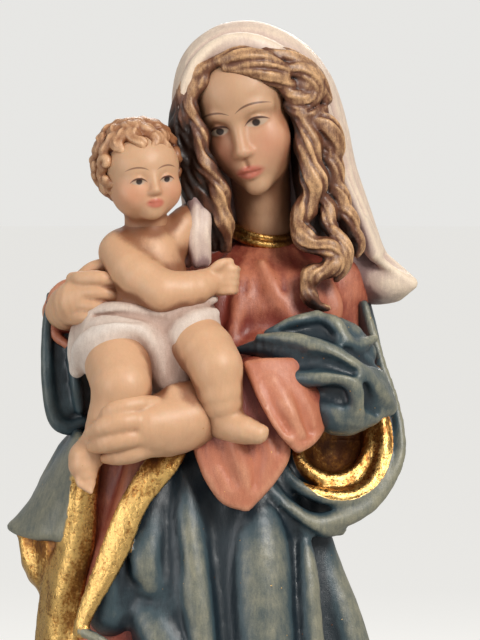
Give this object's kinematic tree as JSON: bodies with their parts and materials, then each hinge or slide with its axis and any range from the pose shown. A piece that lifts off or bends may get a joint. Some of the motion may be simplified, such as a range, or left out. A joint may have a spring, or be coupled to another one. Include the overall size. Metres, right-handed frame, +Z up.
{
  "type": "virgin and child statue",
  "caption": "Carved and painted wooden figure of a standing virgin in a veil and wide mantle, holding a small child on her arm, on a low oblong base.",
  "frame": {"origin": "centre of the base's flat underside", "axes": "+Z up; the figure faces -Y; +X to the viewer's right"},
  "size_m": [0.0744, 0.0605, 0.1998],
  "materials": {
    "painted_wood": "satin hand-painted, with gilded linings"
  },
  "bodies": {
    "root": {"virgin_and_child_statue": "painted_wood"}
  },
  "joints": []
}
